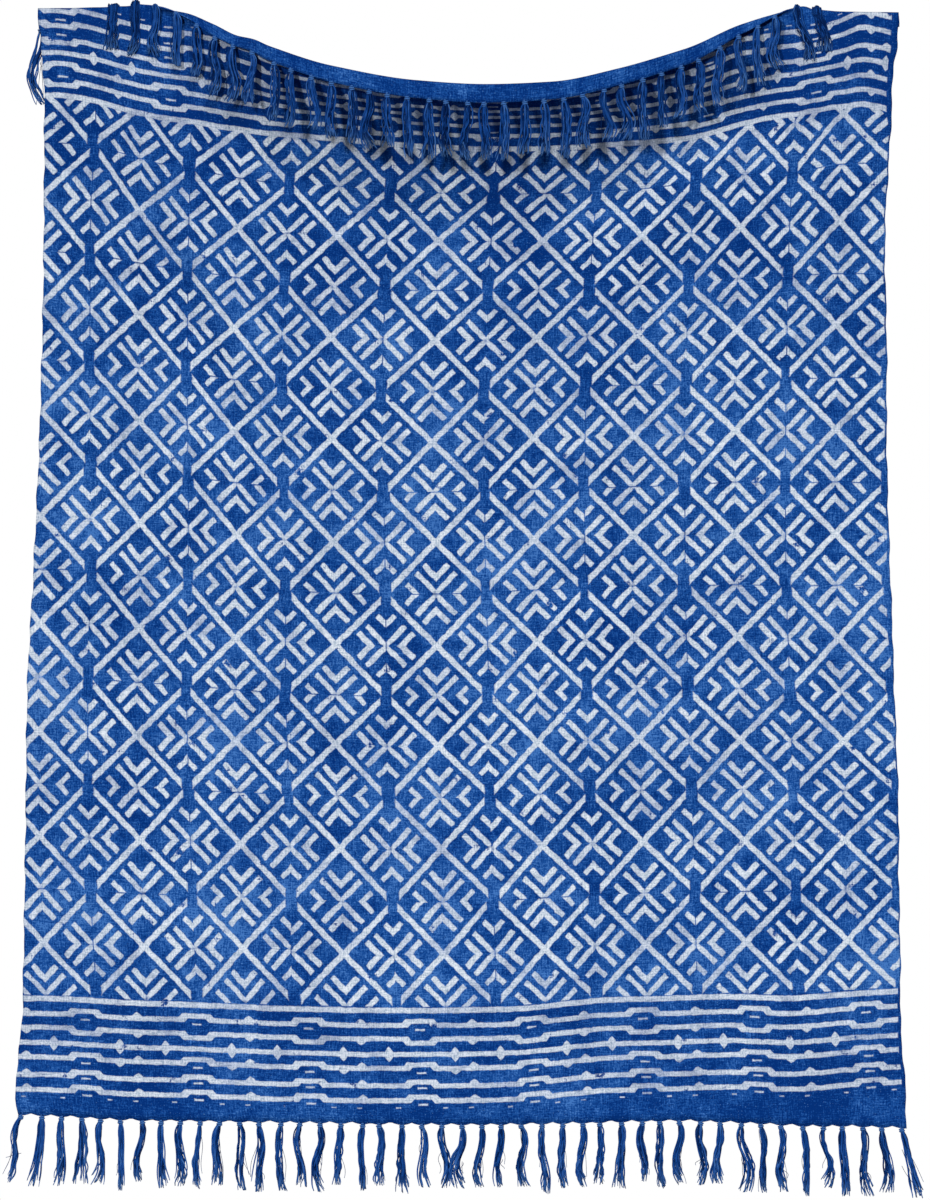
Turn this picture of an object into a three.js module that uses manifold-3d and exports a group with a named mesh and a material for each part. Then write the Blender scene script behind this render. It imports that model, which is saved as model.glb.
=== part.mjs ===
// Block printed cotton throw, hung by its two upper corners so that the top edge sags between them.
// Millimetres, +Z up, +X to the right of someone who faces the printed side, -Y towards that person.
// The origin is the middle of the top edge, on the crest where the fringed hem turns over.
import * as THREE from "three";
import { mergeVertices } from "three/addons/utils/BufferGeometryUtils.js";
import Module from "manifold-3d";

const wasm = await Module();
wasm.setup();

// The cloth as woven, from selvedge to selvedge.
const WIDTH = 1300;
const THICKNESS = 2;

// Each fringe is tied along a narrow strip of the hem, parted from the rest of the cloth.
const STRIP = 6;
const SEAT = 0.5;

// Along the cloth from the top fringed edge: where the corners fold over, where the printed border
// ends, and where the border starts to lean forward and has its full lean.
const CORNER = 38;
const BORDER = 167;
const LEAN_START = 205;
const LEAN_FULL = 112;

// The fold over which the hem turns.
const FOLD_RADIUS = 5;
const FOLD_LEAST = 8;

// How far the middle sinks below the corners: a quick part under the top edge, and a slow one.
const SAG_NEAR = 39;
const SAG_NEAR_FALL = 263;
const SAG_FAR = 35;
const SAG_FAR_FALL = 2770;

// Upright sections of the top edge, from the left corner to the right one. across: place on the cloth
// from its middle. sag: share of the sag. lean: forward lean of the border in degrees. turn: degrees
// through which the hem ends up turned from upright, forward or (negative) back. flap: straight hem
// left past the fold.
const SECTIONS = [
  { across: -650, sag: 0.0, lean: 0, turn: -176, flap: 25 },
  { across: -600, sag: 0.07, lean: 0, turn: -176, flap: 20 },
  { across: -560, sag: 0.15, lean: 0, turn: -170, flap: 14 },
  { across: -518, sag: 0.27, lean: 0, turn: -115, flap: 9 },
  { across: -488, sag: 0.35, lean: 0, turn: 5, flap: 9 },
  { across: -458, sag: 0.41, lean: 0, turn: 110, flap: 8.5 },
  { across: -425, sag: 0.45, lean: 3, turn: 140, flap: 8.5 },
  { across: -373, sag: 0.56, lean: 16, turn: 168, flap: 10 },
  { across: -300, sag: 0.69, lean: 35, turn: 174, flap: 12 },
  { across: -205, sag: 0.8, lean: 49, turn: 175, flap: 14 },
  { across: -76, sag: 0.95, lean: 55, turn: 175, flap: 16 },
  { across: 30, sag: 1.0, lean: 56, turn: 176, flap: 17 },
  { across: 130, sag: 0.98, lean: 55, turn: 175, flap: 16 },
  { across: 230, sag: 0.9, lean: 47, turn: 174, flap: 15 },
  { across: 330, sag: 0.79, lean: 32, turn: 173, flap: 14 },
  { across: 420, sag: 0.53, lean: 16, turn: 155, flap: 9 },
  { across: 465, sag: 0.45, lean: 6, turn: 115, flap: 8.5 },
  { across: 500, sag: 0.39, lean: 0, turn: 10, flap: 9 },
  { across: 530, sag: 0.33, lean: 0, turn: -110, flap: 10 },
  { across: 570, sag: 0.24, lean: 0, turn: -170, flap: 14 },
  { across: 650, sag: 0.22, lean: 0, turn: -176, flap: 16 },
];

// The two selvedges. fall: distance along the cloth below the corner fold.
const SELVEDGES = [
  { fall: 0, left: -626, right: 626 },
  { fall: 134, left: -617, right: 620 },
  { fall: 353, left: -618, right: 610 },
  { fall: 587, left: -623, right: 612 },
  { fall: 820, left: -633, right: 617 },
  { fall: 996, left: -642, right: 623 },
  { fall: 1229, left: -645, right: 628 },
  { fall: 1463, left: -649, right: 632 },
  { fall: 1580, left: -659, right: 640 },
  { fall: 1617, left: -655, right: 640 },
];

// The lower edge, cut by hand: how far it is from the upper fringed edge along the cloth.
const LOWER_EDGE = [
  { across: -650, length: 1649 },
  { across: -535, length: 1650 },
  { across: -245, length: 1645 },
  { across: 30, length: 1643 },
  { across: 305, length: 1641 },
  { across: 415, length: 1650 },
  { across: 525, length: 1659 },
  { across: 650, length: 1664 },
];

// Soft folds of the field, each along a straight run on the flat cloth. width: its spread to each
// side. out: how far it stands forward, or (negative) sinks back, at the middle of the run.
const FOLDS = [
  { fromAcross: -570, fromLength: 170, toAcross: -310, toLength: 720, width: 36, out: -12 },
  { fromAcross: -470, fromLength: 190, toAcross: -230, toLength: 740, width: 62, out: 10 },
  { fromAcross: 480, fromLength: 180, toAcross: 240, toLength: 470, width: 34, out: -8 },
  { fromAcross: 390, fromLength: 190, toAcross: 180, toLength: 520, width: 58, out: 7 },
  { fromAcross: -200, fromLength: 420, toAcross: -260, toLength: 1080, width: 120, out: 12 },
  { fromAcross: 110, fromLength: 820, toAcross: 330, toLength: 1340, width: 130, out: 10 },
  { fromAcross: -70, fromLength: 560, toAcross: 20, toLength: 1250, width: 85, out: -6 },
  { fromAcross: -480, fromLength: 1000, toAcross: -510, toLength: 2000, width: 75, out: 8 },
  { fromAcross: -250, fromLength: 1080, toAcross: -270, toLength: 2000, width: 80, out: -7 },
  { fromAcross: 50, fromLength: 1120, toAcross: 40, toLength: 2000, width: 85, out: 8 },
  { fromAcross: 260, fromLength: 1050, toAcross: 280, toLength: 2000, width: 75, out: -8 },
  { fromAcross: 500, fromLength: 1000, toAcross: 520, toLength: 2000, width: 80, out: 7 },
];

// Rows of faces: in the flap, over the fold, up the leaning border, and down the field.
const FLAP_ROWS = 1;
const FOLD_ROWS = 5;
const BORDER_ROWS = 6;
const FIELD_ROWS = 15;
// Columns of faces, closer where the hem goes from the back to the front.
const COLUMNS = [
  { to: -540, step: 37 },
  { to: -440, step: 10 },
  { to: 450, step: 36 },
  { to: 550, step: 10 },
  { to: 650, step: 34 },
];

// The tassels: knotted bundles of warp ends, each with two or three loose locks.
const TASSELS = 45;
const TASSEL_INSET = 4;
const TASSEL_DRIFT = 3;
const TOP_TASSEL = 84;
const BOTTOM_TASSEL = 98;
const TASSEL_UNEVEN = 8;
const KNOT_SIDES = 4;
const KNOT_RADIUS = 5.2;
const KNOT_START = -0.8;
const KNOT_END = 7;
const LOCK_SIDES = 3;
const LOCK_RADIUS = 2.4;
const LOCK_START = 4;
const LOCK_APART = 2;
const LOCK_SPLAY = 5.5;
const LOCK_SHORTER = 0.08;
const LOCK_DEPTH = 0.7;
const THICK_EVERY = 4;
const SWAY = 5;
const STRAIGHT_STEPS = 3;
const BENT_STEPS = 4;
const OVER_STEPS = 9;
// A tassel that stands up from the edge bends over with this radius, and a hem turned by more than
// this many degrees lets its tassels hang straight.
const CURL_RADIUS = 9;
const HANGS_STRAIGHT = 150;
// Tassels of a hem that is turned back hang behind the cloth and trail away from it. Those within this
// distance of the middle were flung over the crest, and lie this far off the printed side.
const BACK_TREND = 8;
const FLUNG_WITHIN = 545;
const FLUNG_OFF = 10;
// How far the outermost tassels lean out, left and right.
const TOP_LEAN_OUT = [-20, 5];
const BOTTOM_LEAN_OUT = [-17, 24];
// Each fringe has its own fixed unevenness.
const TOP_SEED = 11;
const BOTTOM_SEED = 47;
const SCATTER = { first: 127.1, second: 311.7, scale: 43758.5453 };

const INDIGO = 0x1f4a8c;
const INDIGO_YARN = 0x26477a;
const MATT = { roughness: 0.95, metalness: 0 };

const radians = THREE.MathUtils.degToRad;
const { clamp, lerp, smoothstep } = THREE.MathUtils;

// A smooth curve through one column of a table, with no overshoot between its rows.
function curve(table, key, column) {
  const x = table.map((row) => row[key]);
  const y = table.map((row) => row[column]);
  const rise = x.slice(1).map((next, i) => (y[i + 1] - y[i]) / (next - x[i]));
  const slope = x.map((_, i) => {
    const before = rise[Math.max(i - 1, 0)];
    const after = rise[Math.min(i, rise.length - 1)];
    return before * after > 0 ? (2 * before * after) / (before + after) : 0;
  });
  return (value) => {
    const at = clamp(value, x[0], x[x.length - 1]);
    const i = Math.max(x.findIndex((edge) => edge >= at) - 1, 0);
    const span = x[i + 1] - x[i];
    const t = (at - x[i]) / span;
    const ease = t * t * (3 - 2 * t);
    const start = t * (1 - t) * (1 - t) * span * slope[i];
    const end = t * t * (t - 1) * span * slope[i + 1];
    return lerp(y[i], y[i + 1], ease) + start + end;
  };
}

const sagShare = curve(SECTIONS, "across", "sag");
const leanDegrees = curve(SECTIONS, "across", "lean");
const turnDegrees = curve(SECTIONS, "across", "turn");
const flapLength = curve(SECTIONS, "across", "flap");
const leftEdge = curve(SELVEDGES, "fall", "left");
const rightEdge = curve(SELVEDGES, "fall", "right");
const lowerEdge = curve(LOWER_EDGE, "across", "length");

// Length of cloth that the fold takes up.
function foldLength(across) {
  const bend = radians(Math.abs(turnDegrees(across) - leanDegrees(across)));
  return Math.max(FOLD_RADIUS * bend, FOLD_LEAST);
}

// Angle of the cloth from upright, positive when it goes forward on its way up. Past the fringed edge,
// where length is negative, it is the angle of a tassel that bends over and hangs.
function tilt(across, length) {
  const lean = radians(leanDegrees(across));
  const turn = radians(turnDegrees(across));
  const flap = flapLength(across);
  const fold = foldLength(across);
  if (length > flap + fold) return lean * smoothstep(LEAN_START - length, 0, LEAN_START - LEAN_FULL);
  if (length > flap) return lerp(lean, turn, (flap + fold - length) / fold);
  if (length > 0) return turn;
  const curl = -length / CURL_RADIUS;
  return hangsBack(across) ? Math.max(turn - curl, -Math.PI) : Math.min(turn + curl, Math.PI);
}

function hangsBack(across) {
  return turnDegrees(across) < 0;
}

// The way up from where the lean starts, over the fold and along a tassel, one millimetre at a time,
// with the angle taken at the middle of each.
const climbs = new Map();
function climb(across) {
  if (climbs.has(across)) return climbs.get(across);
  const path = [{ forward: 0, up: 0 }];
  for (let length = LEAN_START - 0.5; length > -TOP_TASSEL - TASSEL_UNEVEN - 1; length -= 1) {
    const last = path[path.length - 1];
    const angle = tilt(across, length);
    path.push({ forward: last.forward + Math.sin(angle), up: last.up + Math.cos(angle) });
  }
  climbs.set(across, path);
  return path;
}

// How far the soft folds push the cloth forward.
function relief(across, length) {
  return FOLDS.reduce((sum, fold) => {
    const runX = fold.toAcross - fold.fromAcross;
    const runY = fold.toLength - fold.fromLength;
    const run = Math.hypot(runX, runY);
    const x = across - fold.fromAcross;
    const y = length - fold.fromLength;
    const along = clamp((x * runX + y * runY) / (run * run), 0, 1);
    const aside = (x * runY - y * runX) / run / fold.width;
    return sum + fold.out * Math.sin(Math.PI * along) ** 2 * Math.exp(-aside * aside);
  }, 0);
}

// A point of the cloth's middle layer, from its place on the flat cloth.
function place(across, length) {
  const fall = Math.max(length - CORNER, 0);
  const low = Math.max(length, LEAN_START);
  const near = SAG_NEAR * Math.exp((BORDER - low) / SAG_NEAR_FALL);
  const far = SAG_FAR * Math.exp((BORDER - low) / SAG_FAR_FALL);
  const point = new THREE.Vector3(
    lerp(leftEdge(fall), rightEdge(fall), across / WIDTH + 0.5),
    -relief(across, low),
    CORNER - low - sagShare(across) * (near + far),
  );
  if (length < LEAN_START) {
    const steps = LEAN_START - length;
    const path = climb(across);
    const before = path[Math.floor(steps)];
    const after = path[Math.ceil(steps)];
    const share = steps - Math.floor(steps);
    point.y -= lerp(before.forward, after.forward, share);
    point.z += lerp(before.up, after.up, share);
  }
  return point;
}

// The direction from the printed side to the plain one, across the cloth's thickness.
function backward(across, length) {
  const right = place(across + 1, length).sub(place(across - 1, length));
  const down = place(across, length + 1).sub(place(across, length - 1));
  return right.cross(down).normalize();
}

// A closed sheet of the cloth's thickness on a grid of places, rows from the top down.
function sheet(grid) {
  const rows = grid.length;
  const columns = grid[0].length;
  const positions = [];
  for (const side of [1, -1]) {
    for (const { across, length } of grid.flat()) {
      const offset = backward(across, length).multiplyScalar((side * THICKNESS) / 2);
      positions.push(...place(across, length).add(offset).toArray());
    }
  }
  const back = (r, c) => r * columns + c;
  const front = (r, c) => rows * columns + back(r, c);
  const index = [];
  const quad = (a, b, c, d) => index.push(a, b, c, a, c, d);
  for (let r = 0; r < rows - 1; r++) {
    for (let c = 0; c < columns - 1; c++) {
      quad(back(r, c), back(r, c + 1), back(r + 1, c + 1), back(r + 1, c));
      quad(front(r, c), front(r + 1, c), front(r + 1, c + 1), front(r, c + 1));
    }
    const last = columns - 1;
    quad(front(r, 0), back(r, 0), back(r + 1, 0), front(r + 1, 0));
    quad(front(r, last), front(r + 1, last), back(r + 1, last), back(r, last));
  }
  for (let c = 0; c < columns - 1; c++) {
    const last = rows - 1;
    quad(front(0, c), front(0, c + 1), back(0, c + 1), back(0, c));
    quad(front(last, c), back(last, c), back(last, c + 1), front(last, c + 1));
  }
  const geometry = new THREE.BufferGeometry();
  geometry.setAttribute("position", new THREE.Float32BufferAttribute(positions, 3));
  geometry.setIndex(index);
  return geometry;
}

function columnPlaces() {
  const places = [-WIDTH / 2];
  for (const stretch of COLUMNS) {
    const from = places[places.length - 1];
    const count = Math.ceil((stretch.to - from) / stretch.step);
    for (let i = 1; i <= count; i++) places.push(lerp(from, stretch.to, i / count));
  }
  return places;
}

// A grid of places down some stretches of the cloth, whose limits may differ from column to column.
function gridDown(stretches) {
  const columns = columnPlaces();
  const grid = [];
  stretches.forEach(({ from, to, rows }, s) => {
    for (let r = s ? 1 : 0; r <= rows; r++) {
      grid.push(columns.map((across) => ({ across, length: lerp(from(across), to(across), r / rows) })));
    }
  });
  return grid;
}

const foldEnd = (across) => flapLength(across);
const foldStart = (across) => flapLength(across) + foldLength(across);

function cloth() {
  return sheet(
    gridDown([
      { from: () => STRIP + SEAT, to: foldEnd, rows: FLAP_ROWS },
      { from: foldEnd, to: foldStart, rows: FOLD_ROWS },
      { from: foldStart, to: () => LEAN_START, rows: BORDER_ROWS },
      { from: () => LEAN_START, to: (across) => lowerEdge(across) - STRIP - SEAT, rows: FIELD_ROWS },
    ]),
  );
}

// A fixed number between -1 and 1 for each pair of whole numbers.
function uneven(first, second) {
  const wave = Math.sin(first * SCATTER.first + second * SCATTER.second) * SCATTER.scale;
  return 2 * (wave - Math.floor(wave)) - 1;
}

function solid(geometry) {
  const bare = geometry.clone();
  bare.deleteAttribute("normal");
  bare.deleteAttribute("uv");
  const merged = mergeVertices(bare, 1e-4);
  return new wasm.Manifold(
    new wasm.Mesh({
      numProp: 3,
      vertProperties: merged.attributes.position.array,
      triVerts: new Uint32Array(merged.index.array),
    }),
  );
}

function geometryOf(made) {
  const mesh = made.getMesh();
  const geometry = new THREE.BufferGeometry();
  geometry.setAttribute("position", new THREE.BufferAttribute(mesh.vertProperties, 3));
  geometry.setIndex(new THREE.BufferAttribute(mesh.triVerts, 1));
  return geometry;
}

// A yarn bundle of a few flat sides along some points.
function bundle(points, sides, radius) {
  const section = new THREE.Shape();
  const corners = [];
  for (let i = 0; i < sides; i++) {
    const angle = (i * 2 * Math.PI) / sides;
    corners.push(new THREE.Vector2(radius * Math.cos(angle), radius * Math.sin(angle)));
  }
  section.setFromPoints(corners);
  return new THREE.ExtrudeGeometry(section, {
    steps: points.length - 1,
    extrudePath: new THREE.CatmullRomCurve3(points),
    bevelEnabled: false,
  });
}

// One lock of a tassel, bent along the tassel's own path and parting from its neighbours on the way.
function lock(tassel, length, spreadX, spreadY, leanOut, phase) {
  const points = [];
  for (let i = 0; i <= tassel.steps; i++) {
    const share = i / tassel.steps;
    const point = tassel.path(lerp(LOCK_START, length, share));
    const apart = LOCK_APART + LOCK_SPLAY * share;
    const wave = Math.sin(share * Math.PI * 2 + phase) * share;
    point.x += spreadX * apart + leanOut * share + wave;
    point.y += spreadY * apart * tassel.depth;
    points.push(point);
  }
  return bundle(points, LOCK_SIDES, LOCK_RADIUS);
}

// One edge's strip with its tassels. rooted gives the tassel that grows from a place on the edge.
function fringe(strip, rooted, tasselLength, leanOut, seed) {
  const pieces = [solid(strip)];
  for (let i = 0; i < TASSELS; i++) {
    const even = lerp(TASSEL_INSET - WIDTH / 2, WIDTH / 2 - TASSEL_INSET, i / (TASSELS - 1));
    const inner = i > 0 && i < TASSELS - 1;
    const across = even + (inner ? TASSEL_DRIFT * uneven(i, seed) : 0);
    const length = tasselLength + TASSEL_UNEVEN * uneven(i, seed + 1);
    const tassel = rooted(across);
    pieces.push(solid(bundle(tassel.knot, KNOT_SIDES, KNOT_RADIUS)));
    const outward = i === 0 ? leanOut[0] : leanOut[1];
    const sideways = inner ? SWAY * uneven(i, seed + 2) : outward;
    const locks = i % THICK_EVERY === 1 ? 3 : 2;
    const start = uneven(i, seed + 3);
    for (let j = 0; j < locks; j++) {
      const angle = (j * 2 * Math.PI) / locks + start / 2;
      const cut = length * (1 - LOCK_SHORTER * j);
      pieces.push(solid(lock(tassel, cut, Math.cos(angle), Math.sin(angle), sideways, start + 2 * j)));
    }
  }
  return geometryOf(pieces.reduce((sum, piece) => sum.add(piece)));
}

// A tassel that is flung over the crest: it stands off the hem and follows the printed side.
function flungTassel(across) {
  const off = (length, distance) => {
    const forward = backward(across, length).negate();
    return place(across, length).addScaledVector(forward, distance);
  };
  return {
    knot: [off(0, -THICKNESS / 4), off(0, FLUNG_OFF)],
    path: (drop) => off(drop - LOCK_START, FLUNG_OFF - THICKNESS),
    steps: OVER_STEPS,
    depth: 0,
  };
}

function topTassel(across) {
  if (hangsBack(across) && Math.abs(across) < FLUNG_WITHIN) return flungTassel(across);
  const trend = hangsBack(across) ? BACK_TREND / TOP_TASSEL : 0;
  const path = (drop) => place(across, -drop).add(new THREE.Vector3(0, trend * drop, 0));
  const straight = Math.abs(turnDegrees(across)) > HANGS_STRAIGHT;
  return {
    knot: [path(KNOT_START), path(KNOT_END)],
    path,
    steps: straight ? STRAIGHT_STEPS : BENT_STEPS,
    depth: LOCK_DEPTH,
  };
}

function bottomTassel(across) {
  const path = (drop) => place(across, lowerEdge(across)).add(new THREE.Vector3(0, 0, -drop));
  return { knot: [path(KNOT_START), path(KNOT_END)], path, steps: STRAIGHT_STEPS, depth: LOCK_DEPTH };
}

function topFringe() {
  const strip = sheet(gridDown([{ from: () => 0, to: () => STRIP, rows: 1 }]));
  return fringe(strip, topTassel, TOP_TASSEL, TOP_LEAN_OUT, TOP_SEED);
}

function bottomFringe() {
  const strip = sheet(gridDown([{ from: (across) => lowerEdge(across) - STRIP, to: lowerEdge, rows: 1 }]));
  return fringe(strip, bottomTassel, BOTTOM_TASSEL, BOTTOM_LEAN_OUT, BOTTOM_SEED);
}

// The middle of the top edge: the highest point of the fold there.
function crest() {
  let highest = place(0, LEAN_START);
  for (let length = LEAN_START; length > 0; length -= 0.5) {
    const point = place(0, length);
    if (point.z > highest.z) highest = point;
  }
  highest.z += THICKNESS / 2;
  return highest;
}

function mesh(name, geometry, color) {
  const made = new THREE.Mesh(geometry, new THREE.MeshStandardMaterial({ color, ...MATT }));
  made.name = name;
  return made;
}

const blockPrintedThrow = new THREE.Group();
blockPrintedThrow.add(mesh("throw_cloth", cloth(), INDIGO));
blockPrintedThrow.add(mesh("top_fringe", topFringe(), INDIGO_YARN));
blockPrintedThrow.add(mesh("bottom_fringe", bottomFringe(), INDIGO_YARN));
const hung = new THREE.Group();
blockPrintedThrow.position.copy(crest().negate());
hung.add(blockPrintedThrow);

export default hung;
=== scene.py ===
"""Block printed cotton throw, hung by its two upper corners, with a knotted fringe at either end."""

import bpy
import numpy as np
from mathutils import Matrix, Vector


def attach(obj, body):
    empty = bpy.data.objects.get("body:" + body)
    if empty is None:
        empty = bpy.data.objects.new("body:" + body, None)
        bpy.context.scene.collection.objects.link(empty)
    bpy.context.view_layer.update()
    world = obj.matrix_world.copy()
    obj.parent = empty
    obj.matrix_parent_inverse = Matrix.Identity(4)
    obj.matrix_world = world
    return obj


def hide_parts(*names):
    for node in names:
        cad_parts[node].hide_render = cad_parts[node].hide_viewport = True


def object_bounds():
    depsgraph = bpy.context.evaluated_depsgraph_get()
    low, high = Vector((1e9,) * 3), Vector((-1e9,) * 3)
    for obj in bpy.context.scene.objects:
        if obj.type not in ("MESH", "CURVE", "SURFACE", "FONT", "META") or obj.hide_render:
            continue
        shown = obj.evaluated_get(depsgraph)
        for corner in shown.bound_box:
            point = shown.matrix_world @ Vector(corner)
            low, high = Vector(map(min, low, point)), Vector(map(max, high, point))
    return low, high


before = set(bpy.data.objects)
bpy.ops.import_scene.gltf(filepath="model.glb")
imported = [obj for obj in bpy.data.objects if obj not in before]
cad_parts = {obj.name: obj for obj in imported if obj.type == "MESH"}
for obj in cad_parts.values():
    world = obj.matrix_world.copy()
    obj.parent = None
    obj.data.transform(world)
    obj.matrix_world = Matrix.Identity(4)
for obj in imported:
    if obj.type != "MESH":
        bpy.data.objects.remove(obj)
cad_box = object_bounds()
scene = bpy.context.scene

# The camera stands straight in front of the throw and far off, behind a long lens, level with the
# middle of the picture. The crest pixel is where the middle of the throw's top edge shows.
PICTURE_PIXELS = (930, 1200)
CREST_PIXEL = (466.5, 84)
PIXEL = 0.00146
CAMERA_DISTANCE = 60
CLIP_DISTANCE = 600
TRUE_SCALE_DEPTH = 0.07

lens = bpy.data.cameras.new("camera")
lens.lens = lens.sensor_width * CAMERA_DISTANCE / (PICTURE_PIXELS[1] * PIXEL)
lens.clip_end = CLIP_DISTANCE
camera = bpy.data.objects.new("camera", lens)
camera.location = (
    (PICTURE_PIXELS[0] / 2 - CREST_PIXEL[0]) * PIXEL,
    TRUE_SCALE_DEPTH - CAMERA_DISTANCE,
    (CREST_PIXEL[1] - PICTURE_PIXELS[1] / 2) * PIXEL,
)
camera.rotation_euler = (np.pi / 2, 0, 0)
scene.collection.objects.link(camera)
scene.camera = camera
scene.view_settings.view_transform = "Standard"

# The studio: a round pale grey floor below the tassels, a white surround, and two lamps in front, one low
# and to the left, one high and broad, so that the hem which falls forward shades what is under it. A
# third lamp, low and broad, lights the plain side.
FLOOR_BELOW = 0.8
FLOOR_RADIUS = 1.8
FLOOR_SIDES = 128
FLOOR_COLOUR = (0.45, 0.45, 0.45, 1)
SURROUND_SEEN = (1, 1, 1, 1)
SURROUND_LIGHT = 0.035
SURROUND_TINT = (0.8, 0.9, 1, 1)
# Lamps: height and place to the left of the camera, and spread, in degrees, then power.
LAMPS = [(10, 14, 4, 1.68), (34, -8, 22, 1.72), (10, 165, 40, 2.2)]


def made_mesh(name, points, faces):
    """A new object in the scene from its points and faces."""
    mesh = bpy.data.meshes.new(name)
    mesh.from_pydata(np.asarray(points).reshape(-1, 3).tolist(), [], faces)
    mesh.shade_smooth()
    piece = bpy.data.objects.new(name, mesh)
    scene.collection.objects.link(piece)
    return piece


rim_angles = np.linspace(0, 2 * np.pi, FLOOR_SIDES, endpoint=False)
floor_rim = np.stack((np.cos(rim_angles), np.sin(rim_angles), np.zeros_like(rim_angles)), -1) * FLOOR_RADIUS
floor_rim[:, 2] = cad_box[0].z - FLOOR_BELOW
floor = made_mesh("floor", floor_rim, [list(range(len(floor_rim)))])
pale_floor = bpy.data.materials.new("pale_floor")
pale_floor.use_nodes = True
pale_floor.node_tree.nodes["Principled BSDF"].inputs["Base Color"].default_value = FLOOR_COLOUR
floor.data.materials.append(pale_floor)

for height, to_left, spread, power in LAMPS:
    light = bpy.data.lights.new("lamp", "SUN")
    light.angle = np.radians(spread)
    light.energy = power
    lamp = bpy.data.objects.new("lamp", light)
    aside = np.radians(to_left)
    toward_lamp = Vector((-np.sin(aside), -np.cos(aside), np.tan(np.radians(height))))
    lamp.rotation_euler = toward_lamp.to_track_quat("Z", "Y").to_euler()
    scene.collection.objects.link(lamp)

surround = bpy.data.worlds.new("surround")
surround.use_nodes = True
sky = surround.node_tree
seen = sky.nodes["Background"]
seen.inputs["Color"].default_value = SURROUND_SEEN
lighting = sky.nodes.new("ShaderNodeBackground")
lighting.inputs["Color"].default_value = SURROUND_TINT
lighting.inputs["Strength"].default_value = SURROUND_LIGHT
which = sky.nodes.new("ShaderNodeMixShader")
sky.links.new(sky.nodes.new("ShaderNodeLightPath").outputs["Is Camera Ray"], which.inputs[0])
sky.links.new(lighting.outputs[0], which.inputs[1])
sky.links.new(seen.outputs[0], which.inputs[2])
sky.links.new(which.outputs[0], sky.nodes["World Output"].inputs["Surface"])
scene.world = surround

# The cloth: one length of slub cotton, its pattern stamped on in resist paste with carved wooden blocks
# and the ground then dyed in indigo. It hangs by its upper corners, so that the top edge sags and the
# fringed hem turns over it, back at the corners and forward between them.
WIDTH = 1.300
THICKNESS = 0.0016
SOLID_THICKNESS = 0.002
# Along the flat cloth from its upper edge: where the corners fold, the depth of the border, and where
# it starts to lean forward and leans in full. Then the fold, and the sag, which fades downward.
CORNER = 0.038
BORDER = 0.167
LEAN_START = 0.205
LEAN_FULL = 0.112
FOLD_RADIUS = 0.005
FOLD_LEAST = 0.008
SAG_NEAR = 0.039
SAG_NEAR_FALL = 0.263
SAG_FAR = 0.035
SAG_FAR_FALL = 2.770
# Upright sections of the top edge: place across, share of the sag, forward lean of the border and turn
# of the hem in degrees, and the straight hem left past the fold.
SECTIONS = np.array(
    [
        (-0.650, 0.00, 0, -176, 0.0250),
        (-0.600, 0.07, 0, -176, 0.0200),
        (-0.560, 0.15, 0, -170, 0.0140),
        (-0.518, 0.27, 0, -115, 0.0090),
        (-0.488, 0.35, 0, 5, 0.0090),
        (-0.458, 0.41, 0, 60, 0.0085),
        (-0.425, 0.45, 3, 125, 0.0060),
        (-0.385, 0.53, 13, 165, 0.0100),
        (-0.350, 0.602, 22, 170, 0.0160),
        (-0.318, 0.660, 30, 173, 0.0118),
        (-0.300, 0.69, 35, 174, 0.0120),
        (-0.205, 0.80, 49, 175, 0.0140),
        (-0.076, 0.95, 55, 175, 0.0160),
        (0.030, 1.00, 56, 176, 0.0170),
        (0.130, 0.98, 55, 175, 0.0160),
        (0.230, 0.90, 47, 174, 0.0150),
        (0.330, 0.79, 32, 173, 0.0140),
        (0.420, 0.53, 16, 155, 0.0090),
        (0.465, 0.45, 6, 115, 0.0085),
        (0.500, 0.41, 0, 10, 0.0090),
        (0.530, 0.33, 0, -110, 0.0100),
        (0.570, 0.24, 0, -170, 0.0140),
        (0.650, 0.22, 0, -176, 0.0160),
    ]
)
# The two selvedges: distance below the corner fold, left edge, right edge.
SELVEDGES = np.array(
    [
        (0.000, -0.626, 0.626),
        (0.134, -0.617, 0.621),
        (0.353, -0.618, 0.610),
        (0.587, -0.623, 0.612),
        (0.820, -0.633, 0.617),
        (0.996, -0.642, 0.625),
        (1.229, -0.645, 0.631),
        (1.463, -0.649, 0.632),
        (1.580, -0.659, 0.640),
        (1.617, -0.655, 0.640),
    ]
)
# The lower edge, cut by hand: place across, and distance from the upper edge.
LOWER_EDGE = np.array(
    [
        (-0.650, 1.649),
        (-0.535, 1.650),
        (-0.245, 1.645),
        (0.030, 1.643),
        (0.305, 1.641),
        (0.415, 1.650),
        (0.525, 1.659),
        (0.650, 1.664),
    ]
)
# Soft folds and finer creases, each along a straight run on the flat cloth: place across and length at
# its start and its end, spread to each side, and how far it stands forward (or, negative, sinks back).
FOLDS = [
    (-0.570, 0.170, -0.310, 0.720, 0.036, -0.012),
    (-0.470, 0.190, -0.230, 0.740, 0.062, 0.010),
    (0.480, 0.180, 0.240, 0.470, 0.034, -0.008),
    (0.390, 0.190, 0.180, 0.520, 0.058, 0.007),
    (-0.200, 0.420, -0.260, 1.080, 0.120, 0.012),
    (0.110, 0.820, 0.330, 1.340, 0.130, 0.010),
    (-0.070, 0.560, 0.020, 1.250, 0.085, -0.006),
    (-0.480, 1.000, -0.510, 2.000, 0.075, 0.008),
    (-0.250, 1.080, -0.270, 2.000, 0.080, -0.007),
    (0.050, 1.120, 0.040, 2.000, 0.085, 0.008),
    (0.260, 1.050, 0.280, 2.000, 0.075, -0.008),
    (0.500, 1.000, 0.520, 2.000, 0.080, 0.007),
]
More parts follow.
